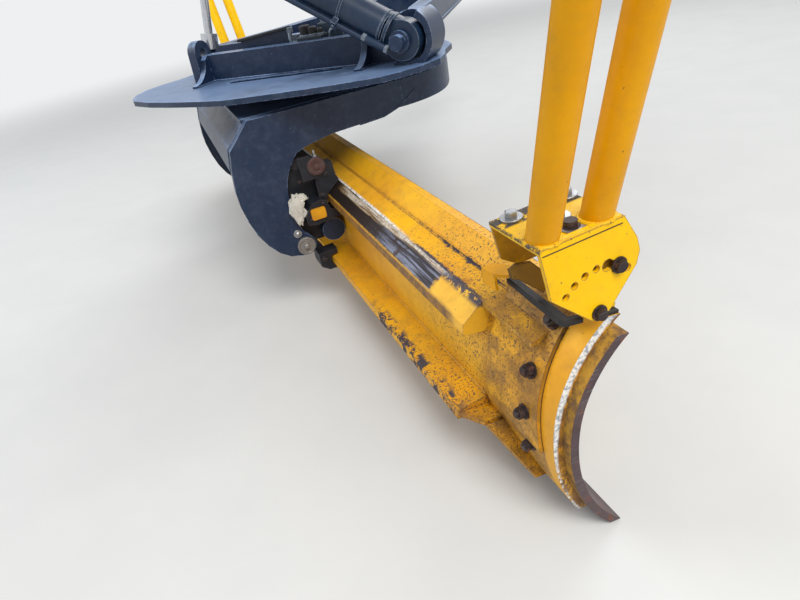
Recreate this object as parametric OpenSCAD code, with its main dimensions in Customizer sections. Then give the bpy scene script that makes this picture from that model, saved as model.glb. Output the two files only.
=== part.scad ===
// Motor grader blade assembly: drawbar, circle and moldboard with end masts.
// Millimetres. The origin is the centre of the drawbar's front ball.
// Y points forward along the drawbar, X to its right, Z up, square to the circle.

/* [Drawbar] */
// From the ball to the circle's centre
draw_len = 1950; // [1700:1:2300]
// Radius of the ball
ball_r = 60; // [48:1:72]
// Underside of the rear plate, from the ball's centre
plate_z = -81; // [-120:1:-60]
// Thickness of the rear plate
plate_t = 20; // [12:1:30]
// Height of the two box beams
beam_h = 110; // [80:1:160]
// Distance of the upright web behind the circle's centre
web_back = 420; // [400:1:440]
// Left end of the web, from the centre line
web_left = 363; // [300:1:420]
// Right end of the web, from the centre line
web_right = 439; // [380:1:480]
// Height of the web
web_h = 105; // [80:1:140]
// Thickness of the web
web_t = 25; // [16:1:36]
// Thickness of the left ear
ear_t = 40; // [24:1:50]
// Thickness of the right ear
lug_t = 60; // [40:1:80]

/* [Circle] */
// Turn of the circle at rest, positive to the left
circle_turn = -43.6; // [-60:0.1:60]
// Outer radius of the ring
ring_r = 530; // [510:1:540]
// Inner radius of the ring
ring_in = 420; // [400:1:440]
// Thickness of the circle's base plate
base_t = 20; // [12:1:30]
// Outer radius of the circle's front corners
corner_r = 340; // [300:1:400]
// Height of the ring
ring_h = 53; // [48:1:70]
// Half spacing of the two arms
arm_x = 600; // [560:1:640]
// Thickness of an arm plate
arm_t = 40; // [24:1:50]
// Fore and aft place of the arm pins
pin_y = -449; // [-460:1:-440]
// Height of the arm pins over the blade tip
pin_z = 313; // [305:1:322]
// Radius of the arm pins
pin_r = 30; // [20:1:38]

/* [Blade] */
// Length of the curved sheet
blade_len = 3658; // [3350:1:4270]
// Height of the sheet's top over the tip
blade_h = 604; // [585:1:620]
// Thickness of the sheet
sheet_t = 22; // [12:1:30]
// Back radius of the upper half
r_up = 345; // [330:1:360]
// Back radius of the lower half
r_lo = 510; // [495:1:540]
// Height of the rearmost point of the back
mid_z = 360; // [355:1:365]
// Rearmost point of the back, behind the tip
mid_y = 165; // [162:1:168]
// Shift of the blade at rest, toward its right end
blade_shift = 220; // [0:1:260]
// Fore and aft place of the tip from the circle's centre
tip_y = -147; // [-150:1:-144]
// Lean of the blade at rest
blade_pitch = 7.2; // [6.8:0.1:7.6]
// Thickness of the cutting edges
edge_t = 18; // [10:1:30]
// Height of the cutting edges
edge_h = 150; // [120:1:200]
// How far an end bit stands out of the sheet
bit_out = 30; // [0:1:60]
// Length of an end bit along the blade
bit_len = 260; // [200:1:320]

/* [Shift cylinder] */
// Radius of the side shift cylinder's barrel
shift_r = 42; // [36:1:44]
// Radius of its rod
shift_rod_r = 22; // [16:1:28]
// Fore and aft place of its axis
shift_y = -322; // [-326:1:-320]
// Height of its axis over the tip
shift_z = 350; // [346:1:354]

/* [Masts] */
// Outside radius of a mast tube
tube_r = 30.15; // [24:0.05:34]
// Wall of a mast tube
tube_wall = 4; // [2.5:0.5:8]
// Length of a mast tube
tube_len = 1250; // [800:1:1600]
// Spacing of the two tubes
tube_gap = 118; // [110:1:122]
// Outward lean of the tubes
tube_lean = 17; // [0:0.5:22]
// Tilt of the mast bracket
bracket_tilt = 9.7; // [6:0.1:12]
// Width of the bracket along the blade
bracket_w = 165; // [140:1:200]
// Thickness of the bracket's plates
bracket_t = 10; // [6:1:14]

/* [Upper cylinders] */
// Radius of the centre shift cylinder's barrel
centre_r = 62; // [50:1:66]
// Radius of its rod
centre_rod_r = 32; // [24:1:40]
// Length of its barrel from the pin
centre_len = 620; // [520:1:700]
// Radius of a lift cylinder's barrel
lift_r = 42; // [38:1:60]
// Radius of a lift cylinder's rod
lift_rod_r = 18; // [15:1:30]

/* [Hidden] */
$fn = 64;
tip_z = -990;
bore_gap = 0.05;
end_x = blade_len / 2;
web_y = -draw_len - web_back;
plate_top = plate_z + plate_t;
// the ring runs under the plate with a gap
ring_gap = 6;
ring_z = plate_z - ring_gap - ring_h;
arm_top = ring_z - tip_z;
// groove round the ring and the lip that runs in it
groove_z = 14;
groove_h = 24;
groove_d = 20;
lip_gap = 5;
lip_seat = 0.3;
carrier_x = arm_x - arm_t / 2 - 25;
rail_half = end_x - 300;
drive_r = 75;
// centres of the circle's front corners, the angle they span, and the front between them
corner_x = arm_x + arm_t / 2 - corner_r;
corner_y = 80;
corner_span = 55;
front_y = corner_y - corner_x * tan(corner_span);
front_r = corner_r + corner_x / cos(corner_span);
// lower edge of the circle's front wall
wall_z = 748;
drive_y = -draw_len + ring_in - 90;
// pins of the pitch cylinder: circle end and carrier end, as fore and aft and height
pitch_a = [0, -527, 768];
pitch_b = [0, -396, 588];
pitch_dir = (pitch_b - pitch_a) / norm(pitch_b - pitch_a);
// pin of the centre shift cylinder and its direction, square to Y
centre_pin = [617, web_y - web_t / 2 - 20 - centre_r, 22];
centre_dir = [-0.8545, 0, 0.5195];
// foot balls of the lift cylinders and their direction, mirrored for the right
lift_ball = [-408, web_y + 108, plate_top + 123];
lift_ball_r = 26;
lift_dir = [0.12, 0.16, 0.98];

// Frame of the circle: x along the blade, y forward, z up from the blade tip.
module at_circle() {
  translate([0, -draw_len, tip_z]) rotate([0, 0, circle_turn]) children();
}

// Frame of the blade: x from its middle, y and z from the tip, leaned back.
module at_blade() {
  at_circle() translate([blade_shift, tip_y, 0]) rotate([-blade_pitch, 0, 0]) children();
}

// Extrudes a side view (y, z) along x, centred on cx.
module side(cx, w) {
  translate([cx - w / 2, 0, 0]) rotate([90, 0, 90]) linear_extrude(w) children();
}

// A round bar along x, centred on cx.
module bar_x(cx, w, r, y, z) {
  translate([cx - w / 2, y, z]) rotate([0, 90, 0]) cylinder(h = w, r = r);
}

// A round bar along y, centred on the point p.
module bar_y(p, w, r) {
  translate(p) rotate([90, 0, 0]) cylinder(h = w, r = r, center = true);
}

// A round bar between two points.
module strut(p, q, r) {
  d = q - p;
  translate(p) rotate([0, atan2(norm([d[0], d[1]]), d[2]), atan2(d[1], d[0])])
    cylinder(h = norm(d), r = r);
}

// Part of the blade's curved section, from t0 to t1 in front of its back.
module shell2d(t0, t1, z0, z1) {
  if (z1 > mid_z) intersection() {
    translate([r_up - mid_y, mid_z]) difference() {
      circle(r = r_up - t0);
      circle(r = r_up - t1);
    }
    translate([-mid_y - 200, max(z0, mid_z)]) square([r_up + 180, z1 - max(z0, mid_z)]);
  }
  if (z0 < mid_z) intersection() {
    translate([r_lo - mid_y, mid_z]) difference() {
      circle(r = r_lo - t0);
      circle(r = r_lo - t1);
    }
    translate([-mid_y - 200, z0]) square([r_lo + 180, min(z1, mid_z) - z0]);
  }
}

// All that lies in front of the sheet's back, as a cutter for what sits on it.
module front2d() {
  intersection() {
    translate([r_up - mid_y, mid_z]) circle(r = r_up);
    translate([-mid_y - 5, mid_z]) square([2 * r_up, r_up]);
  }
  intersection() {
    translate([r_lo - mid_y, mid_z]) circle(r = r_lo);
    translate([-mid_y - 5, mid_z - r_lo]) square([2 * r_lo, r_lo]);
  }
}

// Place of the sheet's back at the height z.
function back_y(z) = z > mid_z
  ? r_up - mid_y - sqrt(r_up * r_up - (z - mid_z) * (z - mid_z))
  : r_lo - mid_y - sqrt(r_lo * r_lo - (z - mid_z) * (z - mid_z));

// Drawbar

module slot2d(l, w) {
  translate([-l / 2 + w / 2, 0]) circle(d = w);
  translate([l / 2 - w / 2, 0]) circle(d = w);
  translate([-l / 2 + w / 2, -w / 2]) square([l - w, w]);
}

// Outline of the rear plate, with its slot and the openings inside the ring.
module plate2d() {
  edge = [[-1, -818], [121, -801], [310, -765], [451, -731], [581, -682], [634, -634],
    [682, -568], [719, -464], [710, -383], [682, -300], [667, -178], [568, -20], [430, 210],
    [406, 269], [130, draw_len - 260], [-1, draw_len - 260]];
  difference() {
    for (s = [-1, 1]) translate([0, -draw_len]) polygon([for (p = edge) [s * p[0], p[1]]]);
    translate([55, web_y - 55]) rotate(5) slot2d(520, 42);
    translate([0, -draw_len]) circle(r = 190);
    polygon([[-190, -draw_len + 750], [190, -draw_len + 750], [70, -560], [-70, -560]]);
  }
}

module drawbar_frame() {
  color([0.20, 0.24, 0.29]) {
    translate([0, 0, plate_z]) linear_extrude(plate_t) plate2d();
    translate([0, 0, plate_top - 1]) linear_extrude(beam_h) {
      // two beams, the front block and the cross beam
      for (s = [-1, 1]) polygon([[s * 60, -120], [s * 130, -180], [s * 420, -draw_len + 220],
        [s * 540, -draw_len - 150], [s * 470, -draw_len - 150], [s * 330, -draw_len + 240],
        [s * 60, -500]]);
      translate([-130, -310]) square([260, 210]);
      translate([-480, -draw_len - 180]) square([960, 60]);
    }
    translate([-130, -310, plate_z]) cube([260, 210, plate_t]);
    translate([0, -180, 0]) rotate([-90, 0, 0]) cylinder(h = 105, r = 44);
  }
}

module drawbar_ball() {
  color([0.55, 0.56, 0.58]) {
    sphere(r = ball_r);
    translate([0, -75, 0]) rotate([-90, 0, 0]) cylinder(h = 40, r = 38);
  }
}

module drawbar_web() {
  gusset = 118;
  color([0.20, 0.24, 0.29]) {
    translate([-web_left, web_y - web_t / 2, plate_top])
      cube([web_left + web_right, web_t, web_h]);
    // curved gussets behind both ends of the web
    for (x = [-web_left, web_right - 25]) translate([x, web_y - web_t / 2, plate_top])
      rotate([90, 0, 90]) linear_extrude(25) difference() {
        polygon([[1, 0], [-gusset, 0], [-gusset, 16], [1, web_h]]);
        translate([-gusset - 8, web_h + 14]) circle(r = gusset - 6);
      }
    // flange along the top
    translate([-web_left, web_y + web_t / 2 - 1, plate_top + web_h - 12])
      cube([web_left + web_right, 36, 12]);
  }
}

// Lug at the web's left end, with the foot of the lift cylinder in front of it.
module drawbar_ear_left() {
  color([0.20, 0.24, 0.29]) {
    translate([-web_left - ear_t, web_y, plate_top]) rotate([90, 0, 90]) linear_extrude(ear_t)
      difference() {
        union() {
          polygon([[-62, 0], [60, 0], [50, 120], [-50, 120]]);
          translate([0, 116]) circle(r = 50);
        }
        translate([0, 116]) circle(r = 20);
      }
    lift_foot(1);
  }
}

module lift_foot(s) {
  x = s * lift_ball[0];
  translate([x - 38, web_y + 61, plate_top]) cube([76, 90, 34]);
  translate([x, lift_ball[1], plate_top + 33])
    cylinder(h = lift_ball[2] - 18 - plate_top - 33, r = 15);
  translate([x, lift_ball[1], lift_ball[2]]) sphere(r = lift_ball_r);
}

// Rounded ear at the web's right end that carries the centre shift cylinder.
module drawbar_ear_right() {
  x = centre_pin[0];
  z = centre_pin[2];
  wall_r = 102;
  wall_t = 22;
  color([0.20, 0.24, 0.29]) {
    translate([0, web_y - web_t / 2, 0]) difference() {
      rotate([90, 0, 0]) translate([0, 0, -lug_t]) linear_extrude(lug_t) difference() {
        union() {
          polygon([[web_right, plate_top], [x + 25, plate_top], [x + 60, z - 50], [x + 40, z + 60],
            [x - 40, z + 76], [web_right, plate_top + web_h]]);
          translate([x, z]) circle(r = 82);
        }
        translate([x - 100, plate_top - 60]) square([200, 60]);
      }
    }
    // wall that curves round the cylinder's eye, down to the plate
    difference() {
      translate([x, web_y - web_t / 2 + lug_t - 6, z]) rotate([90, 0, 0])
        linear_extrude(lug_t + 78) difference() {
          circle(r = wall_r);
          circle(r = wall_r - wall_t);
          rotate(-35) translate([-200, -200]) square([200, 400]);
        }
      translate([x - 200, web_y - 200, plate_top - 100]) cube([400, 400, 100]);
    }
    // pin with its collar and cap
    bar_y([x, web_y - web_t / 2 - 8, z], 18, 44);
    bar_y([x, centre_pin[1], z], 2 * (web_y - web_t / 2 - centre_pin[1]) + 2, 25);
    bar_y([x, centre_pin[1] - 48, z], 12, 36);
    lift_foot(-1);
  }
}

// Lips that run in the ring's groove, under the plate.
module circle_guides() {
  color([0.30, 0.31, 0.33]) translate([0, -draw_len, 0]) for (a = [-45, 70, 110, 225])
    rotate([0, 0, a]) {
      low = ring_z + groove_z + lip_gap;
      translate([ring_r + 8, -50, low]) cube([44, 100, plate_z - low]);
      translate([ring_r - groove_d + 6, -50, low])
        cube([groove_d + 8, 100, groove_h - lip_gap - lip_seat]);
    }
}

module circle_drive() {
  color([0.20, 0.24, 0.29]) translate([0, drive_y, 0]) {
    translate([0, 0, plate_top]) cylinder(h = 40, r = 130);
    translate([0, 0, plate_top + 40]) cylinder(h = 130, r = 105);
    translate([0, 0, ring_z + 6]) cylinder(h = plate_z - ring_z - 6, r = drive_r);
  }
}

module drive_motor() {
  color([0.10, 0.10, 0.11]) translate([0, drive_y, plate_top + 170]) {
    cylinder(h = 22, r = 80);
    translate([0, 0, 21]) cylinder(h = 111, r = 58);
    translate([-30, -95, 40]) cube([60, 60, 50]);
  }
}

// Circle

module circle_ring() {
  color([0.17, 0.20, 0.24]) at_circle() translate([0, 0, arm_top]) difference() {
    cylinder(h = ring_h, r = ring_r);
    translate([0, 0, -1]) cylinder(h = ring_h + 2, r = ring_in);
    translate([0, 0, groove_z]) difference() {
      cylinder(h = groove_h, r = ring_r + 10);
      translate([0, 0, -1]) cylinder(h = groove_h + 2, r = ring_r - groove_d);
    }
  }
}

// Rounded front of the circle in plan, drawn in by t.
module front_plan2d(t) {
  far = 2 * front_r;
  intersection() {
    union() {
      for (s = [-1, 1]) translate([s * corner_x, corner_y]) circle(r = corner_r - t);
      intersection() {
        translate([0, front_y]) circle(r = front_r - t);
        polygon([[0, front_y], [far * cos(corner_span), front_y + far * sin(corner_span)],
          [-far * cos(corner_span), front_y + far * sin(corner_span)]]);
      }
    }
    translate([-arm_x - arm_t, corner_y]) square([2 * (arm_x + arm_t), far]);
  }
}

// Base plate under the ring, and the wall that closes it in front.
module circle_base() {
  inner = arm_x - arm_t / 2;
  rear = -531 - base_t;
  color([0.17, 0.20, 0.24]) at_circle() {
    translate([0, 0, arm_top - base_t]) linear_extrude(base_t) difference() {
      union() {
        translate([-inner, rear]) square([2 * inner, corner_y - rear]);
        front_plan2d(arm_t / 2);
      }
      circle(r = ring_in - 10);
    }
    translate([0, 0, wall_z]) linear_extrude(arm_top - wall_z) difference() {
      front_plan2d(0);
      front_plan2d(arm_t);
    }
  }
}

// Side view of an arm: y forward and z up from the blade tip's level.
module arm2d() {
  difference() {
    union() {
      polygon([[-531, arm_top], [-624, 758], [-642, 674], [-650, 600], [-650, 545],
        [-640, 480], [-622, 415], [-595, 360], [-560, 315], [-520, 285], [-470, 272],
        [-440, 280], [-410, 313], [-449, 391], [-462, 430], [-466, 480], [-462, 545],
        [-450, 595], [-427, 640], [-388, 687], [-350, 702], [-312, 710], [-234, 722],
        [4, 731], [52, wall_z], [corner_y, wall_z], [corner_y, arm_top]]);
      translate([pin_y, pin_z]) circle(r = pin_r + 14);
    }
    translate([pin_y, pin_z]) circle(r = pin_r + bore_gap);
  }
}

module circle_arm_left() {
  color([0.20, 0.24, 0.29]) at_circle() side(-arm_x, arm_t) arm2d();
}

module circle_arm_right() {
  color([0.20, 0.24, 0.29]) at_circle() side(arm_x, arm_t) arm2d();
}

// Sloped plate between the arms, with the lugs and pin of the pitch cylinder.
module circle_crossplate() {
  y = pitch_a[1];
  z = pitch_a[2];
  color([0.22, 0.27, 0.33]) at_circle() {
    side(0, 2 * arm_x - arm_t) polygon([[-531 - base_t, arm_top - base_t], [-624, 758],
      [-642, 674], [-624, 672], [-607, 752], [-509 - base_t, arm_top - base_t]]);
    for (s = [-1, 1]) side(s * 47, 16) difference() {
      polygon([[y - 85, z - 10], [y - 20, arm_top - 22], [y + 20, z + 20], [y + 22, z - 20],
        [y - 10, z - 28], [y - 84, z - 40]]);
      translate([y, z]) circle(r = 15 + bore_gap);
    }
    bar_x(0, 126, 15, y, z);
  }
}

module arm_pins() {
  color([0.42, 0.43, 0.45]) at_circle() for (s = [-1, 1]) {
    bar_x(s * (arm_x - 26), arm_t + 66, pin_r, pin_y, pin_z);
    bar_x(s * (arm_x + arm_t / 2 + 6), 12, pin_r + 8, pin_y, pin_z);
  }
}

// Carrier: swings on the arm pins and holds the blade's rails

module carrier2d() {
  difference() {
    union() {
      translate([pin_y, pin_z]) circle(r = pin_r + 22);
      polygon([[-500, 320], [-498, 400], [-478, 520], [-440, 610], [-330, 622],
        [-330, 470], [-372, 450], [-380, 420], [-392, 300], [-372, 262], [-368, 216],
        [-380, 190], [-412, 200], [-412, 262], [-449, 262]]);
    }
    translate([pin_y, pin_z]) circle(r = pin_r + bore_gap);
  }
}

// Bracket that holds the side shift cylinder's barrel.
module shift_hold2d(reach) {
  difference() {
    polygon([[reach, shift_z + 50], [shift_y - 8, shift_z + 50], [shift_y + 44, shift_z + 26],
      [shift_y + 44, shift_z - 26], [shift_y - 8, shift_z - 50], [reach, shift_z - 50]]);
    translate([shift_y, shift_z]) circle(r = shift_r);
  }
}

module carrier() {
  lever_y = pitch_b[1];
  lever_z = pitch_b[2];
  beam_r = 38;
  color([0.16, 0.18, 0.21]) at_circle() {
    for (s = [-1, 1]) side(s * carrier_x, 40) carrier2d();
    bar_x(0, 2 * carrier_x - 38, beam_r, -430, 510);
    side(carrier_x, 30) shift_hold2d(-390);
    side(-345, 30) union() {
      shift_hold2d(-420);
      polygon([[-450, 510], [-410, 510], [-370, shift_z + 49], [-420, shift_z + 49]]);
    }
    // lever of the pitch cylinder, with a short pin in each cheek
    for (s = [-1, 1]) {
      side(s * 47, 16) polygon([[-460, 530], [-400, 520], [lever_y + 24, lever_z - 20],
        [lever_y + 20, lever_z + 20], [lever_y - 16, lever_z + 22], [-466, 560]]);
      bar_x(s * 59, 10, 14, lever_y, lever_z);
    }
    for (s = [-1, 1]) bar_x(s * (carrier_x - 5), 50, 26, -398, 495);
  }
}

// Blocks that run over and under the blade's two rails.
module carrier_clamps() {
  face = carrier_x + 20;
  color([0.09, 0.09, 0.10]) at_circle() for (s = [-1, 1]) {
    side(s * (face + 27), 54) polygon([[-345, 472], [-345, 560], [-330, 622], [-262, 622],
      [-258, 566], [-250, 549], [-253, 542], [-317, 492], [-317, 462]]);
    side(s * (face + 41), 82) polygon([[-418, 404], [-424, 412], [-424, 440], [-392, 486],
      [-352, 496], [-328, 486], [-320, 456], [-318, 447], [-297, 445], [-270, 440],
      [-272, 420], [-288, 408], [-318, 404], [-385, 398]]);
    side(s * (face + 32), 64) polygon([[-412, 262], [-330, 264], [-330, 244], [-366, 240],
      [-366, 198], [-335, 193], [-335, 178], [-380, 178], [-412, 200]]);
    // round boss and a block behind it on the upper block
    bar_x(s * (face + 64), 22, 37, -331, 627);
    side(s * (face + 61), 20) polygon([[-395, 580], [-395, 672], [-350, 672], [-330, 640],
      [-330, 580]]);
  }
}

// Rounded plates let into the lower blocks' outer faces.
module clamp_inserts() {
  r = 10;
  color([0.93, 0.68, 0.07]) at_circle() for (s = [-1, 1])
    side(s * (carrier_x + 20 + 82 + 3), 6) translate([-371, 444]) {
      for (a = [-1, 1], b = [-1, 1]) translate([a * (31 - r), b * (24 - r)]) circle(r = r);
      square([62 - 2 * r, 48], center = true);
      square([62, 48 - 2 * r], center = true);
    }
}

module shift_barrel() {
  color([0.13, 0.14, 0.16]) at_circle() difference() {
    union() {
      bar_x(110, 1060, shift_r, shift_y, shift_z);
      bar_x(622, 36, shift_r + 6, shift_y, shift_z);
      bar_x(-402, 36, shift_r + 6, shift_y, shift_z);
    }
    bar_x(90, 1060, shift_rod_r + bore_gap, shift_y, shift_z);
  }
}

// Blade

// The rod ends in a lug on the blade's back, held by a nut.
module shift_rod() {
  color([0.80, 0.81, 0.82]) at_circle() {
    bar_x(-542.5, 1585, shift_rod_r, shift_y, shift_z);
    bar_x(-1344, 24, shift_rod_r + 12, shift_y, shift_z);
    bar_x(-1256, 24, shift_rod_r + 10, shift_y, shift_z);
  }
}

module moldboard_sheet() {
  color([0.93, 0.67, 0.06]) at_blade() side(0, blade_len) shell2d(0, sheet_t, 60, blade_h);
}

module ledge2d() {
  polygon([[-96, 552], [-168, 520], [-168, 506], [-96, 538]]);
}

module blade_ledge() {
  color([0.93, 0.67, 0.06]) {
    at_blade() side(0, blade_len - 190) difference() {
      ledge2d();
      front2d();
    }
    // lug for the side shift rod
    difference() {
      at_blade() side(-1300 - blade_shift, 64) difference() {
        polygon([[-150, 274], [-150, 376], [-206, 372], [-252, 350], [-252, 304], [-206, 280]]);
        front2d();
      }
      at_circle() bar_x(-1300, 80, shift_rod_r + bore_gap, shift_y, shift_z);
    }
  }
}

module slide_rail() {
  color([0.36, 0.37, 0.41]) at_blade() side(0, 2 * rail_half) difference() {
    polygon([[-168, 520], [-221, 466], [-221, 440], [-204, 432], [-148, 432], [-138, 470],
      [-124, 506], [-168, 506]]);
    front2d();
  }
}

module lower_rail() {
  color([0.93, 0.67, 0.06]) at_blade() difference() {
    union() {
      side(0, 2 * rail_half) polygon([[-130, 228], [-236, 204], [-236, 176], [-200, 176],
        [-120, 192]]);
      // flat and sloped plates from the rail's ends toward the blade's ends
      for (s = [-1, 1]) mirror([s < 0 ? 1 : 0, 0, 0]) {
        translate([0, 0, 184]) linear_extrude(14)
          polygon([[rail_half - 1, -232], [rail_half + 62, -189], [rail_half + 62, -110],
            [rail_half - 1, -110]]);
        translate([rail_half + 62, 0, 184]) rotate([0, 38, 0]) linear_extrude(14)
          polygon([[0, -189], [163, -117], [163, -60], [0, -100]]);
      }
    }
    side(0, blade_len) front2d();
  }
}

module cutting_edges() {
  edge_end = end_x + bit_out - bit_len - 4;
  color([0.38, 0.34, 0.33]) at_blade() for (s = [-1, 1])
    side(s * (edge_end + 2) / 2, edge_end - 2) shell2d(sheet_t, sheet_t + edge_t, 0, edge_h);
}

module end_bit(s) {
  color([0.34, 0.27, 0.26]) at_blade() side(s * (end_x + bit_out - bit_len / 2), bit_len)
    shell2d(sheet_t, sheet_t + 20, 0, blade_h - 28);
}

module end_bit_left() { end_bit(-1); }
module end_bit_right() { end_bit(1); }

// Doubling plates on the back near the ends; the outer edge leans in upward.
module end_plates() {
  color([0.93, 0.67, 0.06]) at_blade() for (s = [-1, 1]) difference() {
    intersection() {
      side(s * (end_x - 145), 240) shell2d(-10, 0, 248, blade_h - 44);
      translate([s * end_x, 0, 0]) rotate([90, 0, 0]) linear_extrude(600, center = true)
        polygon([[-s * 300, 200], [-s * 40, 200], [-s * 68, 600], [-s * 300, 600]]);
    }
    side(0, blade_len - 190) ledge2d();
  }
}

// One nut with its washer, seated on the surface at the height z.
module end_bolt(z, lift) {
  r = z > mid_z ? r_up : r_lo;
  lean = asin((z - mid_z) / r);
  translate([0, back_y(z), z]) rotate([90 - lean, 0, 0]) translate([0, 0, lift]) {
    cylinder(h = 4, r = 19);
    translate([0, 0, 3]) cylinder(h = 17, r = 15, $fn = 6);
    translate([0, 0, 3]) cylinder(h = 23, r = 9);
  }
}

module end_bolts() {
  color([0.16, 0.11, 0.10]) at_blade() for (s = [-1, 1], i = [0 : 3])
    translate([s * (end_x - 96), 0, 0]) end_bolt(553 - 108 * i, i < 3 ? 10 : 0);
}

// Mast brackets and masts

// Local frame of a bracket: x outward from its outer face, z up from its pivot.
module at_bracket(s) {
  at_blade() translate([s * end_x, -88, blade_h + 19]) mirror([s < 0 ? 1 : 0, 0, 0])
    rotate([bracket_tilt, 0, 0]) children();
}

bracket_top = 184;

module bracket_side2d() {
  difference() {
    union() {
      polygon([[-121, bracket_top - 2], [-108, 97], [-105, 73], [-16, -14], [14, -14],
        [28, -4], [90, 72], [97, 100], [90, 130], [62, bracket_top - 2]]);
      circle(r = 18);
    }
    for (i = [0 : 6]) rotate(47 + 15 * i) translate([100, 0])
      circle(r = i == 1 || i == 2 ? 12.5 : 7.5);
    rotate(69.5) translate([100, 0]) circle(r = 9);
  }
}

module mast_bracket(s) {
  color([0.97, 0.80, 0.04]) {
    at_bracket(s) {
      side(-bracket_t / 2, bracket_t) bracket_side2d();
      side(-bracket_w + 4, 8) polygon([[-121, bracket_top - 2], [-108, 97], [-70, 70],
        [40, 70], [62, 110], [62, bracket_top - 2]]);
      // folded top
      translate([-bracket_w, -121, bracket_top - bracket_t])
        cube([bracket_w, 183, bracket_t]);
      bar_x(-30, 50, 15, 0, 2);
      // plate heads
      for (p = [[-144, -83], [-146, 46], [-82, -20]]) translate([p[0], p[1], bracket_top]) {
        translate([0, 0, -1]) cylinder(h = 4, r = 15);
        cylinder(h = 13, r = 9);
      }
    }
    // foot on the pad
    at_blade() translate([s * (end_x - 84), 0, blade_h + 8])
      translate([-66, -104, 0]) cube([132, 72, 9]);
  }
}

module mast_bracket_left() { mast_bracket(-1); }
module mast_bracket_right() { mast_bracket(1); }

module mast_pads() {
  color([0.06, 0.06, 0.06]) at_blade() for (s = [-1, 1])
    translate([s * (end_x - 80) - 76, back_y(blade_h), blade_h]) cube([152, 30, 8]);
}

// Dark bolts: pivot and slot on the outer face, one on top between the tubes.
module mast_bolts() {
  color([0.12, 0.12, 0.13]) for (s = [-1, 1]) at_bracket(s) {
    bar_x(2, 4, 17, 0, 0);
    bar_x(9, 10, 12, 0, 0);
    rotate([62, 0, 0]) {
      bar_x(2, 4, 17, 100, 0);
      bar_x(8, 9, 12, 100, 0);
    }
    translate([-34, -30, bracket_top]) {
      cylinder(h = 4, r = 18);
      translate([0, 0, 3]) cylinder(h = 13, r = 13);
    }
  }
}

module mast_tubes(s) {
  color([0.97, 0.74, 0.04]) at_bracket(s) difference() {
    for (k = [-1, 1]) translate([-34, -32 + k * tube_gap / 2, bracket_top])
      rotate([0, tube_lean, 0]) difference() {
        translate([0, 0, -20]) cylinder(h = tube_len + 20, r = tube_r);
        translate([0, 0, 40]) cylinder(h = tube_len, r = tube_r - tube_wall);
      }
    translate([-200, -200, bracket_top - 60]) cube([400, 400, 60]);
  }
}

module mast_tubes_left() { mast_tubes(-1); }
module mast_tubes_right() { mast_tubes(1); }

// Cylinders

module pitch_barrel() {
  color([0.13, 0.14, 0.16]) at_circle() difference() {
    union() {
      strut(pitch_a, pitch_a + 150 * pitch_dir, 30);
      bar_x(0, 60, 30, pitch_a[1], pitch_a[2]);
    }
    bar_x(0, 80, 15 + bore_gap, pitch_a[1], pitch_a[2]);
    strut(pitch_a + 26 * pitch_dir, pitch_a + 160 * pitch_dir, 14 + bore_gap);
  }
}

module pitch_rod() {
  color([0.80, 0.81, 0.82]) at_circle() {
    strut(pitch_a + 72 * pitch_dir, pitch_b, 14);
    bar_x(0, 56, 20, pitch_b[1], pitch_b[2]);
  }
}

module centre_barrel() {
  color([0.13, 0.14, 0.16]) difference() {
    union() {
      strut(centre_pin, centre_pin + centre_len * centre_dir, centre_r);
      strut(centre_pin + (centre_len - 70) * centre_dir, centre_pin + centre_len * centre_dir,
        centre_r + 8);
      bar_y(centre_pin, 80, centre_r + 4);
    }
    bar_y(centre_pin, 2 * centre_r + 20, 25 + bore_gap);
    for (k = [-1, 1]) translate(centre_pin + [0, k * 82, 0])
      rotate([0, atan2(centre_dir[0], centre_dir[2]), 0]) translate([-80, -50, -80])
        cube([160, 100, 150]);
    strut(centre_pin + 120 * centre_dir, centre_pin + (centre_len + 10) * centre_dir,
      centre_rod_r + bore_gap);
  }
}

module centre_rod() {
  eye = centre_pin + (centre_len + 200) * centre_dir;
  color([0.80, 0.81, 0.82]) difference() {
    union() {
      strut(centre_pin + 290 * centre_dir, eye, centre_rod_r);
      bar_y(eye, 2 * centre_rod_r + 8, 46);
    }
    bar_y(eye, 2 * centre_rod_r + 30, 22);
  }
}

// Lift cylinders stand on the foot balls; the left one is drawn, the right mirrored.
module lift_rod(s) {
  p = [s * lift_ball[0], lift_ball[1], lift_ball[2]];
  d = [s * lift_dir[0], lift_dir[1], lift_dir[2]] / norm(lift_dir);
  color([0.80, 0.81, 0.82]) difference() {
    union() {
      strut(p + 30 * d, p + 620 * d, lift_rod_r);
      strut(p - 8 * d, p + 54 * d, lift_ball_r + 10);
    }
    translate(p) sphere(r = lift_ball_r + 0.3);
  }
}

module lift_barrel(s) {
  p = [s * lift_ball[0], lift_ball[1], lift_ball[2]];
  d = [s * lift_dir[0], lift_dir[1], lift_dir[2]] / norm(lift_dir);
  color([0.90, 0.66, 0.08]) difference() {
    union() {
      strut(p + 360 * d, p + 900 * d, lift_r);
      strut(p + 360 * d, p + 420 * d, lift_r + 8);
      strut(p + 899 * d, p + 960 * d, 34);
    }
    strut(p + 350 * d, p + 880 * d, lift_rod_r + bore_gap);
  }
}

module lift_rod_left() { lift_rod(1); }
module lift_rod_right() { lift_rod(-1); }
module lift_barrel_left() { lift_barrel(1); }
module lift_barrel_right() { lift_barrel(-1); }

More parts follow.
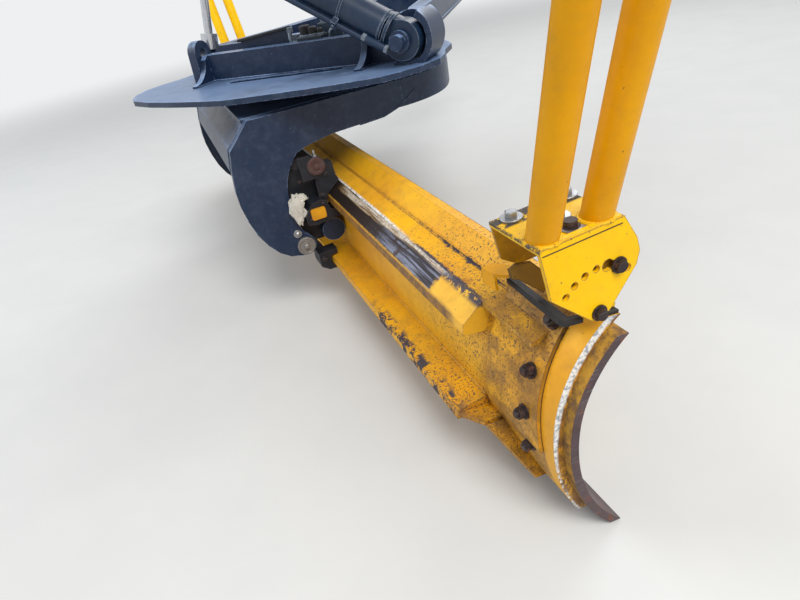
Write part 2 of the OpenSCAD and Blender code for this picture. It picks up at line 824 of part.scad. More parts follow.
drawbar_frame();
drawbar_ball();
drawbar_web();
drawbar_ear_left();
drawbar_ear_right();
circle_guides();
circle_drive();
drive_motor();
circle_ring();
circle_base();
circle_arm_left();
circle_arm_right();
circle_crossplate();
arm_pins();
carrier();
carrier_clamps();
clamp_inserts();
shift_barrel();
shift_rod();
moldboard_sheet();
blade_ledge();
slide_rail();
lower_rail();
cutting_edges();
end_bit_left();
end_bit_right();
end_plates();
end_bolts();
mast_pads();
mast_bracket_left();
mast_bracket_right();
mast_bolts();
mast_tubes_left();
mast_tubes_right();
pitch_barrel();
pitch_rod();
centre_barrel();
centre_rod();
lift_rod_left();
lift_rod_right();
lift_barrel_left();
lift_barrel_right();
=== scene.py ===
"""Looks of the blade assembly: materials, small parts, floor, lamps and camera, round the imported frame."""

import math
import random
from collections import namedtuple

import bmesh
import bpy
from mathutils import Matrix, Vector


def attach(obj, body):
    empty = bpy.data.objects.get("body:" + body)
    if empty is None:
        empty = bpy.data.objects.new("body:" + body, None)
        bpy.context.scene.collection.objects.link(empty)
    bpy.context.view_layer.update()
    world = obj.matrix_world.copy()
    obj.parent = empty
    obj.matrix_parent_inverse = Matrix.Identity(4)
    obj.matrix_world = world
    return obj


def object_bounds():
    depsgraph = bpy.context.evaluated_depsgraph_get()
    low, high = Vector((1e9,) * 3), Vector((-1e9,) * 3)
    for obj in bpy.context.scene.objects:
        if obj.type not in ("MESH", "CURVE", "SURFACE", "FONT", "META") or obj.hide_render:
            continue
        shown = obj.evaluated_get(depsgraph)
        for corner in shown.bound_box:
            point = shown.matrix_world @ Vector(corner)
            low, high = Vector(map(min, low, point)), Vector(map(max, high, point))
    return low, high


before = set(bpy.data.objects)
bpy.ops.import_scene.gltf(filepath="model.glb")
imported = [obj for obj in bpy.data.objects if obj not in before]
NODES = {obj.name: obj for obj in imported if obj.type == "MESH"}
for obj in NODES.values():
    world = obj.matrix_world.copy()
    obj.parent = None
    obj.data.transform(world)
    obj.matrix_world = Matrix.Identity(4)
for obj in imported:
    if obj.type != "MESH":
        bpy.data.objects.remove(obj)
cad_low, cad_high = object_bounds()

dice = random.Random(7)
SIDES = (-1, 1)


# Local frames, in millimetres
def shift(x, y, z):
    return Matrix.Translation((x, y, z))


def turn(angle, axis):
    return Matrix.Rotation(math.radians(angle), 4, axis)


def aim(point, along):
    """A frame at the point whose z axis points along the direction."""
    return shift(*point) @ Vector(along).to_track_quat("Z", "Y").to_matrix().to_4x4()


def mirrored(at, side):
    """The same frame for side 1, and with its x axis turned round for side -1."""
    return at @ Matrix.Diagonal((side, 1, 1, 1))


# Dimensions of the solids, in millimetres and degrees
WEB_Y = -2370
WEB_HALF = 12.5
PLATE_TOP = -61
DRIVE_Y = -1620
END_X = 1829
BLADE_H = 604
BRACKET_TILT = 9.7
BRACKET_Y = -88
BRACKET_RISE = 19
BRACKET_TOP = 184
ARM_TOP = 850
BARREL_R = 62

# The sheet's back is two arcs that meet at one height: radius and y of the centre
MEET_Z = 360
UPPER_ARC = (345, 180)
LOWER_ARC = (510, 345)

MM = Matrix.Scale(0.001, 4)
CIRCLE = MM @ shift(0, -1950, -990) @ turn(-43.6, "Z")
BLADE = CIRCLE @ shift(220, -147, 0) @ turn(-7.2, "X")
CENTRE = MM @ aim((617, WEB_Y - 94.5, 22), (-0.8545, 0, 0.5195))
# An outline's x runs along the frame's y, its y along z and its height along x
SIDEWAYS = Matrix(((0, 0, 1, 0), (1, 0, 0, 0), (0, 1, 0, 0), (0, 0, 0, 1)))


def bracket(side):
    """The frame of one mast bracket, tilted on the blade's top edge."""
    foot = BLADE @ shift(side * END_X, BRACKET_Y, BLADE_H + BRACKET_RISE)
    return mirrored(foot, side) @ turn(BRACKET_TILT, "X")


def back_arc(z):
    return UPPER_ARC if z > MEET_Z else LOWER_ARC


def back_y(z):
    """The sheet's back at the height z, in the blade's frame."""
    radius, centre = back_arc(z)
    return centre - math.sqrt(radius ** 2 - (z - MEET_Z) ** 2)


def on_sheet(x, z, way):
    """A frame on the sheet's back that looks out of it, backward for way 1 and forward for way -1."""
    slope = math.degrees(math.asin((z - MEET_Z) / back_arc(z)[0]))
    return BLADE @ shift(x, back_y(z), z) @ turn(way * 90 - slope, "X")


# Mesh building
def linked(name, data):
    """A new object in the scene's collection."""
    obj = bpy.data.objects.new(name, data)
    bpy.context.scene.collection.objects.link(obj)
    return obj


class Shape:
    """Collects faces in millimetres of local frames and makes one piece of them."""

    CREASE = math.radians(32)

    def __init__(self):
        self.verts = []
        self.faces = []
        self.smooth = []

    def add(self, verts, faces, at, smooth=True):
        base = len(self.verts)
        self.verts += [at @ Vector(v) for v in verts]
        self.faces += [[base + i for i in f] for f in faces]
        self.smooth += [smooth] * len(faces)

    def lathe(self, profile, at, count=32, smooth=True):
        """A profile of (radius, height) turned about z; a radius of 0 closes it."""
        verts, rings = [], []
        for r, z in profile:
            if r == 0:
                rings.append([len(verts)] * count)
                verts.append((0, 0, z))
            else:
                rings.append(list(range(len(verts), len(verts) + count)))
                for i in range(count):
                    a = math.tau * (i + 0.5) / count
                    verts.append((r * math.cos(a), r * math.sin(a), z))
        faces = []
        for low, high in zip(rings, rings[1:]):
            for i in range(count):
                j = (i + 1) % count
                face = []
                for v in (low[i], low[j], high[j], high[i]):
                    if v not in face:
                        face.append(v)
                if len(face) > 2:
                    faces.append(face)
        self.add(verts, faces, at, smooth)

    def hexagon(self, r, h, at, chamfer=2.0):
        profile = [(0, 0), (r, 0), (r, h - chamfer), (r - 1.6 * chamfer, h), (0, h)]
        self.lathe(profile, at, 6, False)

    def disc(self, r, h, at, chamfer=0.8):
        c = chamfer
        self.lathe([(0, 0), (r - c, 0), (r, c), (r, h - c), (r - c, h), (0, h)], at)

    def bolt(self, r, h, at, washer=0.0, thick=3.5, stud=0.0):
        """A hexagon head on a washer, with the stud's end standing out of it."""
        low = thick if washer else 0
        if washer:
            self.disc(washer, thick, at)
        self.hexagon(r, h, at @ shift(0, 0, low - 0.5))
        if stud:
            self.disc(r * 0.52, h + stud, at @ shift(0, 0, low), 1.5)

    def tube(self, points, radius, at, ring=12):
        """A round bar along points; radius is a number or one for each point."""
        pts = [Vector(p) for p in points]
        radii = radius if isinstance(radius, (list, tuple)) else [radius] * len(pts)
        verts, faces = [], []
        side = None
        for i, p in enumerate(pts):
            along = (pts[min(i + 1, len(pts) - 1)] - pts[max(i - 1, 0)]).normalized()
            if side is None:
                side = along.orthogonal().normalized()
            side = (side - along * side.dot(along)).normalized()
            other = along.cross(side)
            for k in range(ring):
                a = math.tau * k / ring
                verts.append(p + radii[i] * (math.cos(a) * side + math.sin(a) * other))
        for i in range(len(pts) - 1):
            for k in range(ring):
                m = (k + 1) % ring
                faces.append([i * ring + k, i * ring + m, (i + 1) * ring + m, (i + 1) * ring + k])
        faces.append(list(range(ring))[::-1])
        faces.append(list(range((len(pts) - 1) * ring, len(pts) * ring)))
        self.add(verts, faces, at)

    def bead(self, points, size, at, ripple=7.0):
        """A weld along points, with ripples a few millimetres apart."""
        path = resample(points, ripple)
        radii = [size * (1.0 if i % 2 else 0.84) * (0.97 + 0.06 * dice.random()) for i in range(len(path))]
        self.tube(path, radii, at, 7)

    def prism(self, outline, low, high, at, chamfer):
        """An outline of (x, y), counter-clockwise, between two heights, with chamfered rims."""
        count = len(outline)
        steps = ((chamfer, low), (0.0, low + chamfer), (0.0, high - chamfer), (chamfer, high))
        verts = []
        for inset, z in steps:
            verts += [(x, y, z) for x, y in inward(outline, inset)]
        faces = [list(range(count))[::-1], list(range(len(verts) - count, len(verts)))]
        for k in range(len(steps) - 1):
            for i in range(count):
                j = (i + 1) % count
                faces.append([k * count + i, k * count + j, (k + 1) * count + j, (k + 1) * count + i])
        self.add(verts, faces, at, False)

    def piece(self, name, body, slot, look=None):
        """Makes the mesh object, riding on a body; its look is the slot's own unless one is named."""
        mesh = bpy.data.meshes.new(name)
        mesh.from_pydata(self.verts, [], self.faces)
        bm = bmesh.new()
        bm.from_mesh(mesh)
        bmesh.ops.recalc_face_normals(bm, faces=bm.faces)
        for face, smooth in zip(bm.faces, self.smooth):
            face.smooth = smooth
        for edge in bm.edges:
            if len(edge.link_faces) == 2 and edge.calc_face_angle(0) > self.CREASE:
                edge.smooth = False
        bm.to_mesh(mesh)
        bm.free()
        mesh.materials.append(MATERIALS[look or slot])
        obj = linked(name, mesh)
        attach(obj, body)


def inward(outline, inset):
    """The outline moved inward, with its sharpest corners held back."""
    if not inset:
        return outline
    count = len(outline)
    moved = []
    for i in range(count):
        a, b, c = (Vector(outline[(i + k) % count]) for k in (-1, 0, 1))
        e, f = (b - a).normalized(), (c - b).normalized()
        n = Vector((-e.y, e.x)) + Vector((-f.y, f.x))
        k = max(0.35, (1 + e.dot(f)) / 2)
        moved.append(tuple(b + n.normalized() * inset / math.sqrt(k)))
    return moved


def resample(points, step):
    pts = [Vector(p) for p in points]
    path = []
    for a, b in zip(pts, pts[1:]):
        n = max(1, round((b - a).length / step))
        path += [a.lerp(b, i / n) for i in range(n)]
    return path + [pts[-1]]


def rounded(points, radius, count=6):
    """The same path with its corners turned into arcs."""
    pts = [Vector(p) for p in points]
    path = [pts[0]]
    for a, b, c in zip(pts, pts[1:], pts[2:]):
        e, f = (a - b), (c - b)
        cut = min(radius, 0.48 * e.length, 0.48 * f.length)
        p, q = b + e.normalized() * cut, b + f.normalized() * cut
        for i in range(count + 1):
            t = i / count
            path.append((1 - t) ** 2 * p + 2 * t * (1 - t) * b + t * t * q)
    return path + [pts[-1]]


def around(angle, r, z):
    """A point at an angle in degrees and a radius about z."""
    return (r * math.cos(math.radians(angle)), r * math.sin(math.radians(angle)), z)


def circle_points(r, count=40, start=0, end=360):
    return [around(start + (end - start) * i / count, r, 0) for i in range(count + 1)]


# Materials
def srgb(r, g, b):
    def lin(v):
        v /= 255
        return v / 12.92 if v <= 0.04045 else ((v + 0.055) / 1.055) ** 2.4
    return (lin(r), lin(g), lin(b), 1.0)


class Graph:
    """A material's node tree, written as plain calls."""

    def __init__(self, name):
        self.mat = bpy.data.materials.new(name)
        self.mat.use_nodes = True
        self.tree = self.mat.node_tree
        self.tree.nodes.clear()
        self.bsdf = self.new("ShaderNodeBsdfPrincipled")
        self.surface = self.new("ShaderNodeOutputMaterial").inputs["Surface"]
        self.put(self.surface, self.bsdf.outputs[0])
        coord = self.new("ShaderNodeTexCoord")
        self.here = coord.outputs["Object"]
        self.facing = coord.outputs["Normal"]

    def new(self, kind, **settings):
        node = self.tree.nodes.new(kind)
        for key, value in settings.items():
            setattr(node, key, value)
        return node

    def put(self, socket, value):
        if isinstance(value, bpy.types.NodeSocket):
            self.tree.links.new(value, socket)
        else:
            socket.default_value = value

    def math(self, op, a, b=0.0, clamp=False):
        node = self.new("ShaderNodeMath", operation=op, use_clamp=clamp)
        self.put(node.inputs[0], a)
        self.put(node.inputs[1], b)
        return node.outputs[0]

    def chain(self, op, values):
        result = values[0]
        for value in values[1:]:
            result = self.math(op, result, value)
        return result

    def times(self, *values):
        return self.chain("MULTIPLY", values)

    def plus(self, *values):
        return self.chain("ADD", values)

    def most(self, *values):
        return self.chain("MAXIMUM", values)

    def minus(self, a, b):
        return self.math("SUBTRACT", a, b)

    def off(self, value, centre):
        """How far the value is from the centre, either way."""
        return self.math("ABSOLUTE", self.minus(value, float(centre)))

    def smooth(self, value, low, high):
        """A soft step from 0 at low to 1 at high; high may be the smaller one."""
        node = self.new("ShaderNodeMapRange", interpolation_type="SMOOTHSTEP")
        self.put(node.inputs["Value"], value)
        falling = low > high
        self.put(node.inputs["From Min"], high if falling else low)
        self.put(node.inputs["From Max"], low if falling else high)
        self.put(node.inputs["To Min"], 1.0 if falling else 0.0)
        self.put(node.inputs["To Max"], 0.0 if falling else 1.0)
        return node.outputs[0]

    def between(self, value, low, high, soft):
        rise = self.smooth(value, low - soft, low + soft)
        return self.times(rise, self.smooth(value, high + soft, high - soft))

    def local(self, at):
        """x, y and z in millimetres of a local frame, and the vector of them."""
        where, spin, size = at.inverted().decompose()
        node = self.new("ShaderNodeMapping", vector_type="POINT")
        self.put(node.inputs["Vector"], self.here)
        node.inputs["Location"].default_value = where
        node.inputs["Rotation"].default_value = spin.to_euler()
        node.inputs["Scale"].default_value = size
        split = self.new("ShaderNodeSeparateXYZ")
        self.put(split.inputs[0], node.outputs[0])
        return split.outputs[0], split.outputs[1], split.outputs[2], node.outputs[0]

    def stretched(self, vector, scale):
        node = self.new("ShaderNodeMapping", vector_type="POINT")
        self.put(node.inputs["Vector"], vector)
        node.inputs["Scale"].default_value = scale
        return node.outputs[0]

    def noise(self, scale, detail, rough, at=None):
        node = self.new("ShaderNodeTexNoise")
        self.put(node.inputs["Vector"], self.here if at is None else at)
        node.inputs["Scale"].default_value = scale
        node.inputs["Detail"].default_value = detail
        node.inputs["Roughness"].default_value = rough
        return node.outputs[0]

    def cells(self, scale, at):
        """The distance from each cell's middle, and a value of chance for each cell."""
        node = self.new("ShaderNodeTexVoronoi")
        self.put(node.inputs["Vector"], at)
        node.inputs["Scale"].default_value = scale
        chance = self.new("ShaderNodeSeparateColor")
        self.put(chance.inputs[0], node.outputs["Color"])
        return node.outputs["Distance"], chance.outputs[0]

    def mix(self, factor, a, b):
        node = self.new("ShaderNodeMix", data_type="RGBA")
        self.put(node.inputs[0], factor)
        self.put(node.inputs[6], a)
        self.put(node.inputs[7], b)
        return node.outputs[2]

    def blend(self, factor, a, b):
        node = self.new("ShaderNodeMix", data_type="FLOAT")
        self.put(node.inputs[0], factor)
        self.put(node.inputs[2], a)
        self.put(node.inputs[3], b)
        return node.outputs[0]

    def edges(self, radius=0.004, flat=0.985, sharp=0.80):
        """1 near sharp edges, 0 on flat faces."""
        bevel = self.new("ShaderNodeBevel", samples=4)
        bevel.inputs["Radius"].default_value = radius
        real = self.new("ShaderNodeNewGeometry")
        dot = self.new("ShaderNodeVectorMath", operation="DOT_PRODUCT")
        self.put(dot.inputs[0], bevel.outputs[0])
        self.put(dot.inputs[1], real.outputs["Normal"])
        return self.smooth(dot.outputs["Value"], flat, sharp)

    def upward(self):
        """1 on faces that look up, -1 on those that look down."""
        split = self.new("ShaderNodeSeparateXYZ")
        self.put(split.inputs[0], self.facing)
        return split.outputs[2]

    def bump(self, height, strength, distance):
        node = self.new("ShaderNodeBump")
        node.inputs["Strength"].default_value = strength
        node.inputs["Distance"].default_value = distance
        self.put(node.inputs["Height"], height)
        return node.outputs[0]

    def done(self, color, roughness, metallic=0.0, normal=None, specular=0.5):
        self.put(self.bsdf.inputs["Base Color"], color)
        self.put(self.bsdf.inputs["Roughness"], roughness)
        self.put(self.bsdf.inputs["Metallic"], metallic)
        self.bsdf.inputs["Specular IOR Level"].default_value = specular
        if normal is not None:
            self.put(self.bsdf.inputs["Normal"], normal)
        return self.mat


Wear = namedtuple("Wear", "chips edges grime rust gloss")
Steel = namedtuple("Steel", "gloss rust grime scratches metallic")


def painted(name, tones, wear, marks=None, specular=0.35):
    """Worn paint. tones are the paint, its second tone, the bared ground and the dust.

    marks(graph) may give masks of its own: chips, rust, dirt, dots, brown, dark, fold, bright, steel, dull.
    Of these, dark is a painted shadow, fold a painted highlight, and brown is dirt and, inside the mast
    brackets, painted shade.
    """
    g = Graph(name)
    paint, second, bare, dust = (srgb(*tone) for tone in tones)
    more = marks(g) if marks else {}
    fine = g.noise(38, 6, 0.7)
    color = g.mix(g.smooth(g.noise(2.3, 5, 0.6), 0.35, 0.68), paint, second)
    color = g.mix(g.times(g.smooth(fine, 0.45, 0.8), 0.16), color, dust)
    # dirt lies in patches, most of it on upward faces
    lying = g.plus(0.45, g.times(g.smooth(g.upward(), 0.35, 0.95), 0.55))
    dirt = g.times(g.smooth(g.noise(11, 7, 0.72), 0.42, 0.72), lying, wear.grime)
    dirt = g.most(dirt, more.get("dirt", 0.0))
    color = g.mix(dirt, color, dust)
    # chips are scattered, in patches and along sharp edges, over blooms of rust
    low = 0.70 - 0.05 * wear.chips
    speck = g.smooth(g.noise(75, 4, 0.75), low, low + 0.03)
    low = 0.735 - 0.09 * wear.chips
    patch = g.smooth(g.noise(17, 8, 0.78), low, low + 0.01)
    ragged = g.plus(g.times(fine, 0.6), g.times(g.noise(150, 3, 0.6), 0.4))
    worn = g.times(g.edges(), g.smooth(ragged, 0.62 - 0.26 * wear.edges, 0.66 - 0.24 * wear.edges))
    chip = g.most(speck, patch, worn, more.get("chips", 0.0))
    bloom = g.times(g.smooth(g.noise(9, 6, 0.7), 0.56, 0.75), wear.rust)
    bloom = g.most(bloom, more.get("rust", 0.0))
    rusty = g.mix(g.noise(60, 5, 0.7), srgb(96, 48, 22), srgb(176, 96, 38))
    color = g.mix(g.times(bloom, 0.75), color, rusty)
    ground = g.mix(g.smooth(g.noise(30, 5, 0.7), 0.4, 0.65), bare, rusty) if wear.rust > 0.2 else bare
    color = g.mix(chip, color, ground)
    color = own_marks(g, more, color)
    rough = g.plus(wear.gloss, g.times(fine, 0.18), g.times(dirt, 0.4), g.times(chip, 0.3))
    shine = 0.0
    if "steel" in more:
        color = g.mix(more["steel"], color, bared_steel(g, more["dull"]))
        shine = g.times(more["steel"], 0.7)
        rough = g.plus(rough, g.times(more["steel"], 0.05))
    grain = g.times(g.noise(420, 2, 0.5), 0.12)
    height = g.plus(grain, g.times(chip, -0.8), g.times(dirt, g.noise(190, 4, 0.7), 0.6))
    return g.done(color, g.math("MINIMUM", rough, 0.95), shine, g.bump(height, 0.5, 0.0008), specular)


def own_marks(g, more, color):
    """The colours of the marks that only some paints have, one over the other."""
    if "dots" in more:
        color = g.mix(more["dots"], color, srgb(74, 40, 22))
    # brown: dirt on the blade, and painted shade inside the mast brackets
    if "brown" in more:
        dirt_and_shade_brown = g.mix(g.smooth(g.noise(26, 6, 0.7), 0.4, 0.6), srgb(150, 104, 38), srgb(112, 78, 40))
        color = g.mix(more["brown"], color, dirt_and_shade_brown)
    # dark: a painted shadow, near black
    if "dark" in more:
        color = g.mix(more["dark"], color, srgb(34, 26, 22))
    # fold: a painted highlight in a pale sky blue
    if "fold" in more:
        color = g.mix(more["fold"], color, srgb(128, 157, 200))
    if "bright" in more:
        scuffed = g.mix(g.smooth(g.noise(90, 4, 0.7), 0.35, 0.6), srgb(142, 150, 162), srgb(236, 236, 232))
        color = g.mix(more["bright"], color, scuffed)
    return color


def bared_steel(g, dull):
    """Steel rubbed bright in streaks along the blade, brown in places and where it is dull."""
    run = g.noise(9, 6, 0.75, g.stretched(g.local(BLADE)[3], (0.0004, 0.013, 0.013)))
    color = g.mix(g.smooth(run, 0.44, 0.60), srgb(58, 54, 58), srgb(132, 136, 154))
    color = g.mix(g.smooth(g.noise(9, 7, 0.75), 0.50, 0.62), color, srgb(66, 50, 40))
    return g.mix(dull, color, srgb(52, 42, 38))


def metal(name, tones, wear, painted_part=None):
    """Bare or plated steel with scratches, dirt and some rust; painted_part(graph) masks old paint."""
    g = Graph(name)
    tone, second = (srgb(*t) for t in tones)
    lines = g.noise(14, 6, 0.75, g.stretched(g.here, (1.0, 1.0, 22.0)))
    fine = g.noise(120, 5, 0.7)
    color = g.mix(g.smooth(g.noise(6, 6, 0.7), 0.35, 0.7), tone, second)
    color = g.mix(g.times(g.smooth(lines, 0.55, 0.7), wear.scratches), color, srgb(205, 203, 198))
    ragged = g.plus(g.times(g.noise(22, 8, 0.75), 0.7), g.times(fine, 0.3))
    bloom = g.smooth(ragged, 0.66 - 0.3 * wear.rust, 0.74 - 0.22 * wear.rust)
    bloom = g.times(bloom, min(1.0, wear.rust * 2))
    color = g.mix(bloom, color, g.mix(g.noise(70, 5, 0.7), srgb(70, 38, 24), srgb(150, 84, 44)))
    dirt = g.times(g.smooth(g.noise(13, 7, 0.7), 0.45, 0.7), wear.grime)
    color = g.mix(dirt, color, srgb(74, 68, 62))
    if painted_part:
        left = painted_part(g)
        old = g.mix(g.smooth(g.noise(30, 6, 0.75), 0.38, 0.62), srgb(176, 130, 34), srgb(104, 76, 44))
        color = g.mix(left, color, old)
        dirt = g.most(dirt, left)
    rough = g.plus(wear.gloss, g.times(fine, 0.15), g.times(bloom, 0.45), g.times(dirt, 0.35))
    shine = g.math("SUBTRACT", wear.metallic, g.times(g.most(bloom, dirt), 0.9), clamp=True)
    height = g.plus(g.times(fine, 0.3), g.times(bloom, 0.8), g.times(lines, 0.3))
    return g.done(color, g.math("MINIMUM", rough, 0.95), shine, g.bump(height, 0.35, 0.0006))


def rubber(name, tone, dusty):
    g = Graph(name)
    fine = g.noise(140, 5, 0.7)
    dirt = g.smooth(g.noise(16, 7, 0.72), 0.45, 0.75)
    color = g.mix(g.times(dirt, 0.45), srgb(*tone), srgb(*dusty))
    return g.done(color, g.plus(0.55, g.times(fine, 0.25)), 0.0, g.bump(g.plus(fine, dirt), 0.3, 0.0006))


# Marks: masks in the blade's or the cylinder's frame, in millimetres
CREST_Z = 549
LEDGE_Z = (500, 527)
LOWER_RAIL_Z = (172, 236)
PLATE_EDGE = 1804.4


def blade_space(g):
    """The distance from the blade's middle, y, z and the position for noises."""
    x, y, z, at = g.local(BLADE)
    return g.math("ABSOLUTE", x), y, z, at


def inside_back(g, y, z, arc):
    """How far a point lies inside the sheet's back, by one of its arcs."""
    radius, centre = arc
    across, up = g.minus(y, float(centre)), g.minus(z, float(MEET_Z))
    return g.minus(float(radius), g.math("SQRT", g.plus(g.times(across, across), g.times(up, up))))


def crest_chips(g, far, y, z, rag, near):
    """The chipped line along the crest of the ledge, wider toward the ends."""
    wide = g.plus(-4.0, g.times(near, 11.0), g.times(g.minus(rag, 0.5), 36.0))
    wide = g.times(wide, g.smooth(far, 1560, 1480))
    return g.times(g.smooth(g.minus(wide, g.off(z, CREST_Z)), -0.5, 1.5), g.smooth(y, -60, -80))


def specks(g, far, at, near):
    """Small chips, coarse ones toward the ends and fine ones from the middle of each half."""
    coarse = g.times(g.smooth(g.noise(0.09, 4, 0.75, at), 0.66, 0.69), near)
    fine = g.plus(g.noise(0.15, 4, 0.75, at), g.times(g.smooth(far, 850, 1500), 0.085))
    fine = g.times(g.smooth(fine, 0.65, 0.67), g.smooth(far, 700, 1000))
    return g.times(g.most(coarse, fine), g.smooth(far, 1780, 1760))


def rust_dots(g, far, at):
    """Round dots, thicker toward the ends."""
    spot, chance = g.cells(0.075, at)
    ends = g.smooth(far, 1050, 1500)
    size = g.smooth(g.minus(spot, g.times(ends, 0.05)), 0.11, 0.06)
    share = g.smooth(g.plus(chance, g.times(ends, 0.55)), 0.93, 0.95)
    return g.times(size, g.smooth(far, 1770, 1755), share)


def rim_wear(g, far, y, z, small):
    """White wear along the sheet's ends, thinner toward the bottom."""
    upper, lower = inside_back(g, y, z, UPPER_ARC), inside_back(g, y, z, LOWER_ARC)
    deep = g.blend(g.smooth(z, MEET_Z - 1, MEET_Z + 1), lower, upper)
    deep = g.plus(deep, g.times(small, 9.0), g.times(g.smooth(z, 460, 200), 9.0))
    patchy = g.smooth(g.plus(small, g.times(g.smooth(z, 400, 160), -0.20)), 0.26, 0.36)
    return g.times(g.smooth(far, END_X - 3, END_X - 1), g.smooth(deep, 23, 17), patchy)


def blade_marks(g):
    """Wear and dirt of the sheet, the ledge and the lower rail, and a painted shadow beside the doubling
    plates.
    """
    far, y, z, at = blade_space(g)
    rag, small = g.noise(0.028, 7, 0.72, at), g.noise(0.12, 5, 0.7, at)
    near = g.smooth(far, 500, 1650)
    # the ledge's outer edge beside the rail is scuffed in the middle and chipped toward the ends
    outer = g.smooth(g.plus(y, g.times(small, 22.0)), -148, -152)
    ledge = g.times(g.between(z, *LEDGE_Z, 2), outer, g.smooth(far, 1560, 1500))
    scuffed = g.times(ledge, g.smooth(small, 0.36, 0.44), g.smooth(far, 1150, 900))
    torn = g.times(ledge, g.smooth(rag, 0.36, 0.46), g.smooth(far, 1000, 1200))
    reach = g.plus(y, g.times(small, 40.0), g.times(g.smooth(far, 960, 560), -24.0))
    white = g.times(g.between(far, 420, 920, 70), g.between(z, 500, 522, 3), g.smooth(reach, -126, -134))
    lip = g.times(g.between(z, *LOWER_RAIL_Z, 3), g.smooth(y, -196, -222), g.smooth(rag, 0.50, 0.53),
                  g.between(far, 900, 1540, 80))
    stain = g.times(g.between(far, 1300, 1480, 60), g.between(z, 508, 530, 8), g.smooth(rag, 0.44, 0.58))
    # the doubling plate's edge leans outward with the height; its ground is dirty, and a dark line of
    # painted shadow follows the edge
    past = g.plus(far, g.times(z, 0.073))
    edge_shadow = g.times(g.between(past, PLATE_EDGE, PLATE_EDGE + 2, 0.6), g.smooth(y, -60, -75),
                  g.between(z, 236, 572, 3))
    end_dirt = g.times(g.smooth(far, 1460, 1600), g.smooth(past, 1806, 1803),
                       g.smooth(g.noise(0.016, 6, 0.7, at), 0.30, 0.58), g.smooth(y, -60, -90), 0.8)
    rim_dirt = g.times(g.smooth(far, END_X - 3, END_X - 1), g.smooth(g.noise(0.05, 5, 0.7, at), 0.35, 0.5))
    low = g.times(g.smooth(z, 330, 60), g.smooth(g.noise(0.02, 7, 0.7, at), 0.42, 0.66), 0.55)
    hollow = g.minus(y, g.times(g.off(z, MEET_Z), 0.3))
    front = g.times(g.smooth(z, 420, 120), g.smooth(hollow, -142, -136), 0.2)
    return {
        "chips": g.most(crest_chips(g, far, y, z, rag, near), torn, specks(g, far, at, near), lip),
        "bright": g.most(scuffed, white, rim_wear(g, far, y, z, small)),
        "rust": stain,
        "dirt": g.most(low, front),
        "dots": rust_dots(g, far, at),
        "dark": edge_shadow,
        "brown": g.most(end_dirt, rim_dirt),
    }


def rail_marks(g):
    """Paint left on the rail: yellow toward its ends, brown below, bare steel where the clamps run."""
    far, _, z, at = blade_space(g)
    bare_end = 1345
    rag = g.noise(0.05, 6, 0.75, at)
    edge = g.times(g.minus(rag, 0.5), 60.0)
    run = g.noise(9, 6, 0.75, g.stretched(at, (0.0006, 0.013, 0.013)))
    high = g.plus(z, g.times(g.smooth(far, 1150, 740), 10.0), g.times(g.minus(run, 0.5), 18.0))
    white = g.times(g.between(far, 470, bare_end, 50), g.smooth(high, 508, 515),
                    g.smooth(run, 0.36, 0.54), 0.75)
    out = g.plus(far, edge)
    steel = g.times(g.smooth(out, bare_end, bare_end - 20),
                    g.smooth(g.plus(z, g.times(edge, 0.12)), 468, 473), g.minus(1.0, white))
    brown = g.times(g.smooth(z, 474, 464), g.smooth(rag, 0.26, 0.44), g.smooth(out, 1500, 1440))
    chips = g.times(g.smooth(far, 1300, 1350), g.smooth(z, 500, 512), g.smooth(rag, 0.42, 0.45))
    dull = g.smooth(far, 1080, 800)
    return {"steel": steel, "dull": dull, "bright": white, "brown": brown, "chips": chips}


def bracket_marks(g):
    """Chips over the mast brackets' top plates, thicker along the rear edge, and painted shade inside."""
    far, y, z, at = blade_space(g)
    c, k = math.cos(math.radians(BRACKET_TILT)), math.sin(math.radians(BRACKET_TILT))
    back, up = g.plus(y, float(-BRACKET_Y)), g.plus(z, float(-BLADE_H - BRACKET_RISE))
    along = g.plus(g.times(back, c), g.times(up, k))
    height = g.plus(g.times(back, -k), g.times(up, c))
    rag = g.noise(0.05, 6, 0.75, at)
    dotted = g.smooth(g.noise(0.16, 3, 0.7, at), 0.635, 0.655)
    rear = g.times(g.smooth(g.plus(along, g.times(rag, 44.0)), -92, -98), g.smooth(rag, 0.46, 0.5))
    inner = g.times(g.smooth(far, 1716, 1708), g.smooth(rag, 0.44, 0.48))
    top = g.smooth(height, BRACKET_TOP - 8, BRACKET_TOP - 4)
    # painted shade: brown on the inner faces below the top plate
    shade = g.times(g.smooth(far, 1742, 1736), g.smooth(height, BRACKET_TOP - 10, BRACKET_TOP - 14),
                    g.smooth(g.noise(0.03, 5, 0.7, at), 0.2, 0.5), 0.7)
    return {"chips": g.times(top, g.most(dotted, rear, inner)), "brown": shade}


def frame_marks(g):
    """Painted highlights: upward faces are paler, as if lit by the sky, and palest along their edges."""
    # painted highlight along the rims of upward faces, and a painted sheen over the faces themselves
    near = g.times(g.edges(0.036, 0.997, 0.92), g.smooth(g.upward(), 0.5, 0.8))
    rims = g.times(near, g.smooth(g.noise(7, 6, 0.72), 0.30, 0.56), 0.85)
    sheen = g.times(g.smooth(g.upward(), 0.86, 0.97), g.smooth(g.noise(2.1, 4, 0.6), 0.22, 0.56), 0.46)
    return {"fold": g.most(rims, sheen)}


def cylinder_marks(g):
    """A pale patch, streaked along the barrel, on the centre cylinder near its pin."""
    x, y, z, at = g.local(CENTRE)
    rag = g.noise(0.05, 5, 0.7, g.stretched(at, (1.0, 1.0, 0.35)))
    spot = g.times(g.between(z, 62, 150, 8), g.between(x, 12, 40, 4), g.smooth(rag, 0.44, 0.50))
    return {"bright": g.times(spot, g.smooth(y, -30, -40))}


def bit_marks(g):
    """The end bits' backs keep brown-yellow dirt, while their ends and fronts are bare."""
    far, _, z, at = blade_space(g)
    rag = g.noise(0.04, 6, 0.75, at)
    back = g.smooth(g.plus(far, g.times(rag, 6.0)), 1861, 1859)
    return g.times(back, g.smooth(z, 40, 170), g.smooth(rag, 0.30, 0.40))


